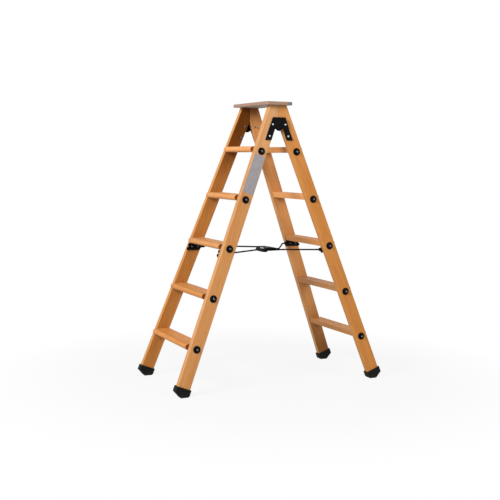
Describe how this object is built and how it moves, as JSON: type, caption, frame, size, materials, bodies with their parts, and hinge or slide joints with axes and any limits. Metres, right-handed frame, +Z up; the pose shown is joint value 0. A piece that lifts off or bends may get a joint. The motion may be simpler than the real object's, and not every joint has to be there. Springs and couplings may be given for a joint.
{
  "type": "trestle ladder",
  "caption": "Folding wooden trestle ladder with treads on both sides, a small metal-edged platform over the top hinge, rubber feet and a folding steel brace.",
  "frame": {"origin": "on the floor, midway between the four feet, under the hinge's axis", "axes": "+X along the spread from the left frame to the right frame, +Y across the treads, +Z up"},
  "size_m": [1.2168, 0.58, 1.495],
  "materials": {
    "wood": "clear orange-brown varnish",
    "plywood": "grey sealed plywood",
    "black_steel": "black powder coat",
    "black_plastic": "moulded, satin",
    "rubber": "moulded, matt",
    "zinc": "bright zinc plate",
    "sheet": "mill finish"
  },
  "bodies": {
    "left_frame": {"left_stile_near": "wood", "left_stile_far": "wood", "left_tread_1": "wood", "left_tread_2": "wood", "left_tread_3": "wood", "left_tread_4": "wood", "left_tread_5": "wood", "left_tie_rods": "zinc", "left_rosettes": "black_plastic", "left_cap_nuts": "zinc", "left_foot_near": "rubber", "left_foot_far": "rubber", "left_hinge_leaf_near": "black_steel", "left_hinge_leaf_far": "black_steel", "left_hinge_bolts": "zinc", "left_hinge_nuts": "zinc", "left_brace_bracket_near": "black_steel", "left_brace_bracket_far": "black_steel", "left_bracket_screws": "zinc", "left_brace_rivets": "black_steel", "hinge_pins": "black_steel", "platform_tray": "sheet", "platform_board": "plywood", "platform_screws": "zinc"},
    "right_frame": {"right_stile_near": "wood", "right_stile_far": "wood", "right_tread_1": "wood", "right_tread_2": "wood", "right_tread_3": "wood", "right_tread_4": "wood", "right_tread_5": "wood", "right_tie_rods": "zinc", "right_rosettes": "black_plastic", "right_cap_nuts": "zinc", "right_foot_near": "rubber", "right_foot_far": "rubber", "right_hinge_leaf_near": "black_steel", "right_hinge_leaf_far": "black_steel", "right_hinge_bolts": "zinc", "right_hinge_nuts": "zinc", "right_brace_bracket_near": "black_steel", "right_brace_bracket_far": "black_steel", "right_bracket_screws": "zinc", "right_brace_rivets": "black_steel"},
    "left_brace": {"left_brace_rod_near": "black_steel", "left_brace_rod_far": "black_steel", "left_brace_plate": "black_steel"},
    "right_brace": {"right_brace_wire_near": "black_steel", "right_brace_wire_far": "black_steel", "right_brace_tube": "black_steel", "right_brace_pin": "black_steel"}
  },
  "joints": [
    {"name": "fold", "type": "hinge", "parent": "left_frame", "child": "right_frame", "pos_m": [0, 0, 1.379], "axis": [0, 1, 0], "range_deg": [0, 40]},
    {"name": "left_brace_lift", "type": "hinge", "parent": "left_frame", "child": "left_brace", "pos_m": [-0.25988, 0, 0.714], "axis": [0, -1, 0], "range_deg": [0, 68.9]},
    {"name": "right_brace_lift", "type": "hinge", "parent": "right_frame", "child": "right_brace", "pos_m": [0.25988, 0, 0.714], "axis": [0, 1, 0], "range_deg": [0, 68.9]}
  ],
  "couplings": [
    {"joint": "left_brace_lift", "follows": "fold", "ratio": 1.721},
    {"joint": "right_brace_lift", "follows": "fold", "ratio": 1.721}
  ]
}
